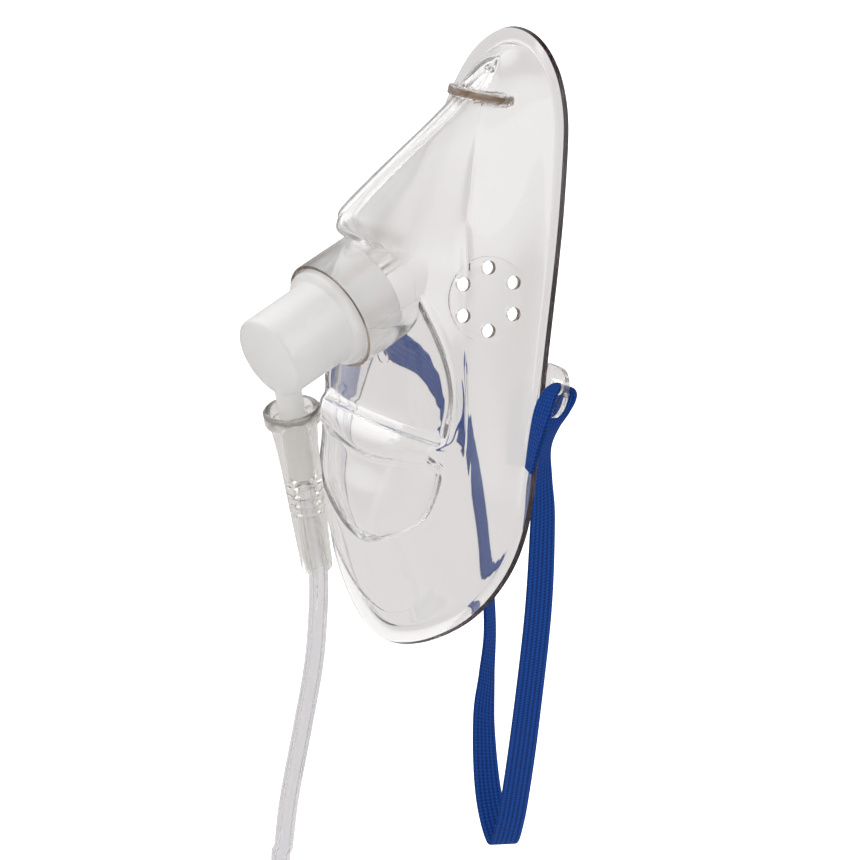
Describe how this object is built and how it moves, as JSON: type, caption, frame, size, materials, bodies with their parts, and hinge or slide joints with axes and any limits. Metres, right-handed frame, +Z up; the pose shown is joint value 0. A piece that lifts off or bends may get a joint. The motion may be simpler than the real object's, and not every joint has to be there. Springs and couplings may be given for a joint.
{
  "type": "oxygen face mask",
  "caption": "Clear moulded oxygen mask with nose ridge, vented cheeks, frosted inlet adaptor, narrow hose with soft cuffs and an elastic head strap.",
  "frame": {"origin": "centre of the face opening, in the plane of the face flange", "axes": "+Z up as worn, +Y towards the wearer's face, +X to the wearer's left"},
  "size_m": [0.0728, 0.1049, 0.2994],
  "materials": {
    "mask_shell": "clear moulded soft plastic",
    "inlet_adaptor": "frosted translucent plastic",
    "hose_cuff": "clear soft plastic",
    "oxygen_tube": "clear soft plastic",
    "tube_coil": "clear soft plastic",
    "tube_tie": "white plastic band",
    "tube_tail": "clear soft plastic",
    "supply_cuff": "clear soft plastic",
    "head_strap": "woven elastic webbing"
  },
  "bodies": {
    "root": {"mask_shell": "mask_shell", "inlet_adaptor": "inlet_adaptor", "hose_cuff": "hose_cuff", "oxygen_tube": "oxygen_tube", "tube_coil": "tube_coil", "tube_tie": "tube_tie", "tube_tail": "tube_tail", "supply_cuff": "supply_cuff", "head_strap": "head_strap"}
  },
  "joints": []
}
